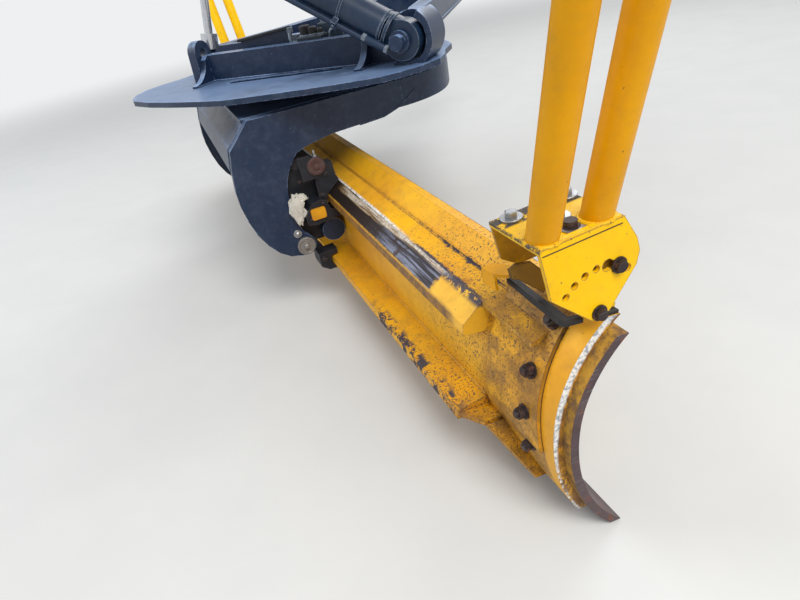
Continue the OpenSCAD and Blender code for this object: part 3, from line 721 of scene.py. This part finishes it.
# Each row: tones, wear in the order of Wear or Steel, marks and specular
PAINTS = {
    # frame_paint's bared ground is a light blue-grey: it shows in chips, and along worn edges it is also a
    # painted highlight
    "frame_paint": (((23, 41, 68), (18, 34, 60), (128, 146, 176), (96, 110, 130)),
                    Wear(0.1, 0.5, 0.3, 0.06, 0.27), frame_marks),
    "lift_paint": (((232, 170, 14), (220, 154, 16), (70, 64, 62), (120, 100, 72)),
                   Wear(0.4, 0.7, 0.4, 0.2, 0.34)),
    "blade_yellow": (((236, 176, 22), (220, 154, 26), (66, 60, 68), (150, 108, 52)),
                     Wear(0.55, 0.8, 0.42, 0.2, 0.36), blade_marks),
    "mast_yellow": (((244, 192, 0), (236, 182, 0), (78, 74, 72), (146, 120, 60)),
                    Wear(0.5, 0.9, 0.25, 0.08, 0.30), bracket_marks, 0.16),
    "tube_yellow": (((228, 160, 0), (214, 148, 0), (84, 76, 60), (146, 116, 56)),
                    Wear(0.3, 0.6, 0.3, 0.1, 0.30), None, 0.14),
    # a brighter copy of tube_yellow: painted sunlight on the far mast's tubes
    "tube_yellow_sunlit": (((250, 200, 0), (240, 188, 0), (84, 76, 60), (146, 116, 56)),
                        Wear(0.3, 0.6, 0.3, 0.1, 0.30), None, 0.14),
    "insert_yellow": (((230, 166, 20), (170, 112, 24), (64, 48, 34), (96, 68, 36)),
                      Wear(0.9, 0.95, 0.9, 0.5, 0.45)),
    # a darker, dirtier copy of the brackets' yellow: painted shade on their inner webs and liners, with dirt
    "inner_paint_shaded": (((166, 122, 22), (120, 92, 32), (60, 50, 44), (96, 78, 48)),
                    Wear(0.7, 0.8, 0.7, 0.2, 0.42)),
    "cylinder_paint": (((22, 42, 66), (17, 33, 54), (132, 146, 166), (70, 76, 84)),
                       Wear(0.15, 0.8, 0.25, 0.05, 0.24), cylinder_marks),
    "carrier_black": (((24, 29, 38), (16, 19, 26), (78, 62, 58), (74, 72, 72)),
                      Wear(0.3, 0.85, 0.35, 0.15, 0.4)),
    "drive_black": (((34, 35, 38), (26, 27, 30), (90, 84, 80), (96, 92, 88)),
                    Wear(0.3, 0.8, 0.5, 0.2, 0.38)),
    "rail_steel": (((244, 190, 52), (232, 168, 40), (78, 72, 80), (150, 112, 56)),
                   Wear(0.5, 0.7, 0.3, 0.15, 0.36), rail_marks),
    "sleeve_brown": (((58, 54, 62), (46, 42, 48), (96, 84, 78), (84, 78, 76)),
                     Wear(0.4, 0.8, 0.5, 0.25, 0.45)),
    "valve_grey": (((42, 54, 68), (28, 37, 48), (120, 122, 120), (28, 30, 32)),
                   Wear(0.4, 0.8, 0.6, 0.15, 0.35)),
    "caked_residue": (((212, 210, 202), (182, 178, 168), (84, 78, 70), (128, 120, 106)),
                      Wear(1.6, 0.4, 0.9, 0.1, 0.7)),
}
METALS = {
    "ball_steel": (((150, 150, 152), (120, 120, 122)), Steel(0.25, 0.12, 0.35, 0.4, 0.9)),
    "rod_chrome": (((206, 208, 212), (180, 182, 188)), Steel(0.12, 0.03, 0.15, 0.15, 0.9)),
    "edge_steel": (((88, 70, 74), (64, 50, 54)), Steel(0.42, 0.45, 0.3, 0.4, 0.5), bit_marks),
    "bolt_steel": (((58, 46, 46), (44, 36, 38)), Steel(0.45, 0.45, 0.3, 0.2, 0.6)),
    "pin_steel": (((150, 148, 146), (112, 110, 108)), Steel(0.4, 0.3, 0.55, 0.3, 0.7)),
    "zinc_plate": (((176, 178, 180), (140, 142, 146)), Steel(0.3, 0.12, 0.35, 0.3, 0.9)),
    "line_steel": (((120, 132, 146), (84, 96, 110)), Steel(0.3, 0.1, 0.4, 0.3, 0.6)),
    "rusty_cast": (((84, 50, 48), (60, 38, 40)), Steel(0.5, 0.35, 0.35, 0.2, 0.3)),
}
RUBBERS = {
    "pad_rubber": ((20, 20, 22), (70, 66, 60)),
    "black_seal": ((17, 17, 19), (58, 55, 52)),
}
MATERIALS = {name: painted(name, *row) for name, row in PAINTS.items()}
MATERIALS.update({name: metal(name, *row) for name, row in METALS.items()})
MATERIALS.update({name: rubber(name, *row) for name, row in RUBBERS.items()})

# Nodes whose look differs from that of their slot; the far mast's tubes take a brighter copy of the tube
# paint, as painted sunlight
OWN_LOOK = {"mast_tubes_left": "tube_yellow_sunlit", "mast_tubes_right": "tube_yellow"}
for name, node in NODES.items():
    for slot in node.material_slots:
        slot.material = MATERIALS[OWN_LOOK.get(name, slot.material.name.split(".")[0])]


# Camera, floor, world and lamps
BACKDROP = (0.86, 0.87, 0.88, 1)


def make_camera():
    """The photograph's camera, from its vanishing points."""
    right = Vector((0.9084, 0.38207, -0.16979))
    down = Vector((0.07476, -0.54798, -0.83314))
    forward = Vector((-0.41136, 0.74413, -0.52635))
    data = bpy.data.cameras.new("camera")
    data.sensor_width = 36.0
    data.lens = 25.2
    data.clip_end = 200
    camera = linked("camera", data)
    axes = Matrix((right, -down, -forward)).transposed()
    camera.matrix_world = shift(1.470, -4.414, 0.293) @ axes.to_4x4()
    bpy.context.scene.camera = camera


def make_floor(half=60.0, drop=0.002):
    """A plain floor just under the part that takes the backdrop's colour far from it."""
    z = cad_low[2] - drop
    mesh = bpy.data.meshes.new("floor")
    corners = [(-half, -half, z), (half, -half, z), (half, half, z), (-half, half, z)]
    mesh.from_pydata(corners, [], [(0, 1, 2, 3)])
    floor = linked("floor", mesh)
    g = Graph("floor")
    color = g.mix(g.noise(3, 5, 0.6), srgb(206, 206, 204), srgb(196, 197, 196))
    mesh.materials.append(g.done(color, 0.8, specular=0.2))
    length = g.new("ShaderNodeVectorMath", operation="LENGTH")
    g.put(length.inputs[0], g.here)
    glow = g.new("ShaderNodeEmission")
    glow.inputs["Color"].default_value = BACKDROP
    ray = g.new("ShaderNodeLightPath")
    seen = g.most(ray.outputs["Is Camera Ray"], ray.outputs["Is Glossy Ray"])
    fade = g.new("ShaderNodeMixShader")
    g.put(fade.inputs[0], g.times(g.smooth(length.outputs["Value"], 4.5, 11.0), seen))
    g.put(fade.inputs[1], g.bsdf.outputs[0])
    g.put(fade.inputs[2], glow.outputs[0])
    g.put(g.surface, fade.outputs[0])


def make_world():
    """Soft sky light; the camera and mirrors see the backdrop's colour."""
    world = bpy.data.worlds.new("world")
    bpy.context.scene.world = world
    world.use_nodes = True
    tree = world.node_tree
    tree.nodes.clear()
    light, shown = (tree.nodes.new("ShaderNodeBackground") for _ in range(2))
    light.inputs["Color"].default_value = (0.93, 0.96, 1.0, 1)
    light.inputs["Strength"].default_value = 0.55
    shown.inputs["Color"].default_value = BACKDROP
    path = tree.nodes.new("ShaderNodeLightPath")
    seen, both = (tree.nodes.new("ShaderNodeMath") for _ in range(2))
    seen.operation = both.operation = "MAXIMUM"
    mix = tree.nodes.new("ShaderNodeMixShader")
    out = tree.nodes.new("ShaderNodeOutputWorld")
    for source, target in (
            (path.outputs["Is Camera Ray"], seen.inputs[0]),
            (path.outputs["Is Glossy Ray"], seen.inputs[1]),
            (seen.outputs[0], both.inputs[0]),
            (path.outputs["Is Transmission Ray"], both.inputs[1]),
            (both.outputs[0], mix.inputs[0]),
            (light.outputs[0], mix.inputs[1]),
            (shown.outputs[0], mix.inputs[2]),
            (mix.outputs[0], out.inputs[0])):
        tree.links.new(source, target)


def lamp(name, at, target, size, power, color):
    data = bpy.data.lights.new(name, "AREA")
    data.size = size
    data.energy = power
    data.color = color
    obj = linked(name, data)
    obj.location = at
    obj.rotation_euler = (Vector(target) - Vector(at)).to_track_quat("-Z", "Y").to_euler()


make_camera()
make_floor()
make_world()
lamp("key", (4.5, -6.5, 6.0), (0.3, -2.4, -0.5), 4.0, 620, (1.0, 0.98, 0.95))
lamp("fill", (-5.5, -4.0, 4.0), (0.0, -2.2, -0.5), 5.0, 220, (0.93, 0.96, 1.0))
lamp("back", (1.5, 4.0, 5.0), (0.2, -2.2, -0.4), 5.0, 240, (1.0, 1.0, 1.0))
bpy.context.scene.view_settings.view_transform = "Standard"


# Small parts
WELD = 5
THIN_WELD = 4


def drawbar_welds():
    """Along the beams, the web, its gussets, the drive and the cross beam, on the plate."""
    welds = Shape()
    z = PLATE_TOP + 1
    for s in SIDES:
        outer = [(62, -122), (132, -184), (423, -1732), (541, -2098)]
        inner = [(60, -506), (328, -1706), (467, -2098)]
        for line in (outer, inner):
            welds.bead([(s * x, y, z) for x, y in line], WELD, MM)
    for y in (WEB_Y - WEB_HALF, WEB_Y + WEB_HALF):
        welds.bead([(-360, y, z), (436, y, z)], WELD, MM)
    for x in (-363, -338, 414, 439):
        welds.bead([(x, WEB_Y - WEB_HALF - 112, z), (x, WEB_Y - WEB_HALF, z)], THIN_WELD, MM)
    welds.bead(circle_points(131), WELD, MM @ shift(0, DRIVE_Y, z))
    welds.bead(circle_points(106), THIN_WELD, MM @ shift(0, DRIVE_Y, z + 39.5))
    for y in (-2136, -2064):
        welds.bead([(-470, y, z), (470, y, z)], THIN_WELD, MM)
    welds.piece("welds_drawbar", "drawbar", "frame_paint")


def circle_welds():
    """Along the arms, the levers of the pitch cylinder and the ring."""
    welds = Shape()
    arm_x, lever_x, lever_half = 579, 47, 8
    for s in SIDES:
        welds.bead([(s * arm_x, -545, ARM_TOP - 1), (s * arm_x, 78, ARM_TOP - 1)], WELD, CIRCLE)
        # where the arm's lower edge runs out on the front wall
        fade = [(620, -114, 726), (620, -9, 731), (620, 52, 749), (619, 100, 775), (614, 141, 800)]
        welds.bead([(s * x, y, z) for x, y, z in fade], THIN_WELD, CIRCLE)
        slope = [(-531, ARM_TOP - 4), (-623, 758), (-640, 676)]
        welds.bead([(s * arm_x, y, z) for y, z in slope], WELD, CIRCLE)
        for k in SIDES:
            x = s * lever_x + k * lever_half
            welds.bead([(x, -607, 754), (x, -552, 816)], THIN_WELD, CIRCLE)
    welds.bead(circle_points(531, 90), WELD, CIRCLE @ shift(0, 0, ARM_TOP + 0.5))
    welds.piece("welds_circle", "circle", "frame_paint")


def carrier_welds():
    """Round the cross tube, at its ends and at the lugs in its middle."""
    welds = Shape()
    tube_r, y, z = 39, -430, 510
    for s in SIDES:
        welds.bead(circle_points(tube_r), THIN_WELD, CIRCLE @ aim((s * 534, y, z), (1, 0, 0)))
        for k in SIDES:
            lug = CIRCLE @ aim((s * 47 + k * 9, y, z), (1, 0, 0))
            welds.bead(circle_points(tube_r, 24, 60, 300), THIN_WELD, lug)
    welds.piece("welds_carrier", "carrier", "carrier_black")


def blade_welds():
    """Along the ledge and the rails, at the doubling plates and round the mast tubes."""
    blade, mast = Shape(), Shape()
    crest_x, rail_x, tube_r = END_X - 95, 1529, 31.5
    for half, z, sunk, above, size in ((crest_x, 552, 1, 2, THIN_WELD), (rail_x, 430, 1, 1, WELD),
                                       (rail_x, 226, 2, 2, WELD), (rail_x, 192, 2, -2, WELD)):
        y = back_y(z) - sunk
        blade.bead([(-half, y, z + above), (half, y, z + above)], size, BLADE)
    for s in SIDES:
        rim = [(s * (END_X - 265), back_y(z) - 5, z) for z in range(256, 500, 16)]
        blade.bead(rim, THIN_WELD, BLADE)
        for k in SIDES:
            tube = bracket(s) @ shift(-34, -32 + k * 59, BRACKET_TOP)
            ring = [around(a, tube_r, 1) for a in range(0, 361, 9)]
            mast.bead([(x * 1.045, y, z) for x, y, z in ring], WELD, tube)
    blade.piece("welds_blade", "blade", "blade_yellow")
    mast.piece("welds_masts", "blade", "mast_yellow")


def blade_bolts():
    """Nuts and heads of the cutting edges, heads of the end bits, and the mast brackets' bolts."""
    dark, zinc = Shape(), Shape()
    dome = [(0, -3), (17, -3), (16, 1.2), (11, 3.2), (0, 4.2)]
    edge_z, edge_x, edge_pitch = 104, 96, 152.4
    end_z, end_x, end_pitch = 553, END_X - 96, 108
    for s in SIDES:
        for i in range(10):
            x = s * (edge_x + edge_pitch * i)
            dark.bolt(14, 13, on_sheet(x, edge_z, 1), 19, 4, 4)
            dark.lathe(dome, on_sheet(x, edge_z, -1) @ shift(0, 0, 41.2))
        for i in range(4):
            dark.lathe(dome, on_sheet(s * end_x, end_z - end_pitch * i, -1) @ shift(0, 0, 43.2))
        for x, y in ((-144, -83), (-146, 46), (-82, -20)):
            zinc.bolt(13, 13, bracket(s) @ shift(x, y, BRACKET_TOP + 0.2), 23, 4.5)
    dark.piece("edge_bolts", "blade", "bolt_steel")
    zinc.piece("bracket_bolts", "blade", "bolt_steel", "zinc_plate")


def centre_cylinder_lines():
    """Hard lines on the centre cylinder's upper rear flank, with straps, fittings and a collar."""
    lines, bands, light = Shape(), Shape(), Shape()
    line_angle, port_angle, thin_angle, nipple_angle = 325, 331, 277, 268
    line = [around(line_angle, r, z) for r, z in ((58, 70), (77, 84), (77, 530), (64, 562))]
    lines.tube(rounded(line, 20), 10, CENTRE)
    port = CENTRE @ shift(*around(port_angle, 76, 34))
    lines.lathe([(0, 0), (13, 0), (13, 74), (11, 78), (0, 78)], port, 28)
    light.hexagon(15, 13, port @ shift(0, 0, -11))
    light.hexagon(14, 16, port @ shift(0, 0, 76))
    thin = [around(thin_angle, r, z) for r, z in ((58, 62), (67, 72), (67, 226), (58, 238))]
    lines.tube(rounded(thin, 9), 3.5, CENTRE)
    nipple = CENTRE @ aim(around(nipple_angle, 61, 44), around(nipple_angle, 1, 0))
    light.hexagon(10, 8, nipple)
    light.lathe([(0, 7), (4, 7), (6, 11), (5, 16), (0, 18)], nipple, 20)
    for z, wide, high in ((232, 10, 2.6), (470, 10, 2.6), (78, 5, 2), (50, 12, 3)):
        inner, outer = BARREL_R - 1, BARREL_R + high
        bands.lathe([(inner, z), (outer, z), (outer, z + wide), (inner, z + wide)], CENTRE, 48)
    for z in (226, 464):
        block = CENTRE @ turn(line_angle, "Z") @ shift(75, 0, z)
        bands.prism([(-14, -15), (13, -15), (13, 15), (-14, 15)], 0, 22, block, 2)
        light.hexagon(6, 5, block @ shift(12, 0, 11) @ turn(90, "Y"))
    bands.lathe([(BARREL_R, 548), (73, 548), (73, 590), (70, 596), (BARREL_R, 596)], CENTRE, 48)
    lines.piece("centre_lines", "centre_barrel", "cylinder_paint")
    bands.piece("centre_bands", "centre_barrel", "cylinder_paint")
    light.piece("centre_fittings", "centre_barrel", "cylinder_paint", "line_steel")


def lump(shape, at, size, wander=0.9, count=18):
    """A rough ball, pushed in and out by the dice and smoothed once."""
    rings = count // 2
    grid = [[1 + wander * (dice.random() - 0.5) for _ in range(count)] for _ in range(rings + 1)]
    verts, faces = [], []
    for j in range(rings + 1):
        lat = math.pi * (j / rings - 0.5)
        for i in range(count):
            near = grid[j][i] * 0.6 + 0.2 * (grid[j][i - 1] + grid[j][(i + 1) % count])
            k = near if 0 < j < rings else 1
            a = math.tau * i / count
            ball = (math.cos(lat) * math.cos(a), math.cos(lat) * math.sin(a), math.sin(lat))
            verts.append([k * half * b for half, b in zip(size, ball)])
    for j in range(rings):
        for i in range(count):
            m = (i + 1) % count
            faces.append([j * count + i, j * count + m, (j + 1) * count + m, (j + 1) * count + i])
    shape.add(verts, faces, at)


def clamp_parts():
    """What sits on the carrier's ends: boss faces, studs, sleeves, caked dirt and screws."""
    rust, zinc, dark, caked, sleeve = (Shape() for _ in range(5))
    clamp_x, plate_x = 639, 628.5
    for s in SIDES:
        end = mirrored(CIRCLE, s)
        face = end @ shift(650, -331, 627) @ turn(90, "Y")
        rust.lathe([(0, -2), (35, -2), (35, 1.5), (32, 3.5), (22, 3.5), (20, 2), (0, 2)], face, 40)
        rust.hexagon(12, 8, face @ shift(0, 0, 1.5))
        zinc.bolt(8, 9, end @ shift(clamp_x, -326, 663), 11, 3, 14)
        profile = [(0, 0), (27, 0), (27, 8), (24, 11), (24, 92), (21, 96), (0, 96)]
        sleeve.lathe(profile, end @ shift(550, -396, 558), 40)
        lump(caked, end @ shift(clamp_x, -441, 486), (13, 31, 54))
        lump(caked, end @ shift(clamp_x - 1, -424, 518), (12, 30, 20))
        lump(caked, end @ shift(clamp_x, -448, 444), (10, 17, 30))
        for y, z in ((-404, 426), (-342, 478)):
            dark.bolt(7, 6, end @ shift(656.5, y, z) @ turn(90, "Y"))
        # retaining bolts of the keeper under the lower rail and of the upper block
        for x, y, z in ((clamp_x, -392, 232), (plate_x, -330, 500), (plate_x, -300, 584)):
            dark.bolt(9, 8, end @ shift(x, y, z) @ turn(90, "Y"), 13, 3)
    rust.piece("boss_faces", "carrier", "carrier_black", "rusty_cast")
    zinc.piece("clamp_studs", "carrier", "bolt_steel", "zinc_plate")
    dark.piece("clamp_screws", "carrier", "carrier_black")
    caked.piece("caked_dirt", "carrier", "carrier_black", "caked_residue")
    sleeve.piece("sleeves", "carrier", "carrier_black", "sleeve_brown")


def pin_parts():
    """Rims and centre bolts on the arm pins, and the bolt that keeps each pin from turning."""
    steel, zinc = Shape(), Shape()
    rim = [(28, -1), (37.5, -1), (37.5, 2), (36, 3), (30, 3), (28, 1)]
    for s in SIDES:
        end = mirrored(CIRCLE, s)
        face = end @ shift(632, -449, 313) @ turn(90, "Y")
        steel.lathe(rim, face, 40)
        steel.bolt(11, 8, face @ shift(0, 0, -0.5), 16, 3)
        zinc.bolt(10, 8, end @ shift(620, -470, 372) @ turn(90, "Y"), 17, 4, 3)
    steel.piece("pin_caps", "circle", "pin_steel")
    zinc.piece("pin_keeper_bolts", "circle", "pin_steel", "zinc_plate")


def bracket_parts():
    """Tab washer, edge strip, groove, inner web, liner, folded lug and seal of each mast bracket."""
    yellow, fold, inner, seal, zinc, groove = (Shape() for _ in range(6))
    strip = [(-15, -119), (-0.5, -119), (-0.5, 58), (-15, 58)]
    tab = [(-56, -40), (-30, -52), (-8, -46), (-1, -12), (-14, -8), (-28, -14), (-52, -18)]
    web = [(-112, 70), (-116, 92), (-100, 98), (-66, 90), (-40, 58), (-28, 16), (-44, 8), (-96, 62)]
    liner = [(-84, 62), (-30, 40), (60, 62), (84, 92), (72, 118), (10, 122), (-70, 104)]
    lug = [(-265, -103), (-218, -98), (-193, -77), (-196, -50), (-233, -52), (-262, -70)]
    lug_foot = [(-265, -103), (-218, -98), (-218, -92), (-265, -97)]
    foot = [(1602, -150), (1800, -160), (1813, -154), (1816, -112), (1800, -112), (1796, -134), (1604, -128)]
    for s in SIDES:
        top = bracket(s)
        yellow.prism(strip, BRACKET_TOP - 1, BRACKET_TOP + 4, top, 1.6)
        groove.tube([(0.1, -116, BRACKET_TOP - 12), (0.1, 56, BRACKET_TOP - 12)], 1.1, top)
        zinc.prism(tab, BRACKET_TOP + 0.2, BRACKET_TOP + 3.4, top, 0.8)
        inner.prism(web, -123, -117, top @ SIDEWAYS, 1)
        inner.prism(liner, -19, -14, top @ SIDEWAYS, 1)
        fold.prism(lug, 20, 27, top, 1.5)
        fold.prism(lug_foot, -18, 22, top, 1.5)
        seal.prism(foot, BLADE_H - 7, BLADE_H + 8, mirrored(BLADE, s), 3)
    yellow.piece("bracket_plates", "blade", "mast_yellow")
    fold.piece("top_lugs", "blade", "blade_yellow", "tube_yellow")
    # the inner webs and liners take the darker copy of the yellow, as painted shade
    inner.piece("bracket_webs", "blade", "mast_yellow", "inner_paint_shaded")
    seal.piece("bracket_seals", "blade", "pad_rubber", "black_seal")
    zinc.piece("tab_washers", "blade", "bolt_steel", "zinc_plate")
    groove.piece("bracket_grooves", "blade", "pad_rubber", "black_seal")


def box(x, y):
    """A rectangle between two x and two y."""
    return [(x[0], y[0]), (x[1], y[0]), (x[1], y[1]), (x[0], y[1])]


def valve_parts():
    """Valve block, its cover plate and the hard lines to the drive's motor, in front of the web."""
    blue, black, body, light = (Shape() for _ in range(4))
    cover_y, caps_y, motor_z, low = -2300, -2302, 174, PLATE_TOP - 1
    upright = MM @ shift(0, cover_y, 0) @ turn(90, "X")
    blue.prism([(-205, low), (40, low), (40, 92), (-205, 71)], -4, 4, upright, 1)
    black.prism([(-212, 69), (46, 91), (46, 102), (-212, 80)], -17, 17, upright, 2)
    body.prism(box((96, 208), (-2336, -2264)), low, 58, MM, 3)
    body.prism(box((160, 270), (-2262, -2214)), low, 92, MM, 3)
    for x, r, h in ((122, 22, 96), (156, 19, 88), (190, 12, 80)):
        cap = MM @ shift(x, caps_y, 0)
        black.lathe([(0, 56), (r, 56), (r, h - 4), (r - 4, h), (0, h)], cap, 28)
        light.lathe([(0, 57), (r + 5, 57), (r + 5, 61), (r + 3, 63), (0, 63)], cap, 28)
    for x in (178, 215, 252):
        light.hexagon(13, 16, MM @ shift(x, -2238, 91))
    for z, y in ((34, -2318), (2, -2286)):
        light.hexagon(16, 18, MM @ aim((96, y, z), (-1, 0, 0)))
        light.tube(rounded([(96, y, z), (62, y, z), (56, y, z + 26), (56, y + 10, z + 50)], 16), 9, MM)
        light.hexagon(13, 20, MM @ shift(56, y + 10, z + 44))
    for x, side in ((122, -14), (168, 14)):
        start = (x, -2264, 10)
        line = [start, (x, -2180, 10), (x, -2160, 66), (x, -2040, 66), (side, -1840, 120),
                (side, -1770, motor_z), (side, -1712, motor_z)]
        light.tube(rounded(line, 40), 8, MM)
        light.hexagon(14, 18, MM @ aim(start, (0, 1, 0)))
        light.hexagon(14, 20, MM @ aim((side, -1715, motor_z), (0, -1, 0)))
    drain = [(208, 30), (226, 30), (238, 70), (372, 60), (388, 20), (388, low)]
    light.tube(rounded([(x, cover_y, z) for x, z in drain], 18), 8, MM)
    light.disc(20, 12, MM @ shift(388, cover_y, low))
    # clamp that holds both lines on the cross beam
    body.prism(box((104, 186), (-2116, -2086)), 46, 78, MM, 2)
    blue.piece("valve_cover", "drawbar", "frame_paint")
    black.piece("valve_caps", "drawbar", "drive_black", "black_seal")
    body.piece("valve_block", "drawbar", "drive_black", "valve_grey")
    light.piece("valve_fittings", "drawbar", "pin_steel", "line_steel")


drawbar_welds()
circle_welds()
carrier_welds()
blade_welds()
blade_bolts()
valve_parts()
centre_cylinder_lines()
clamp_parts()
pin_parts()
bracket_parts()
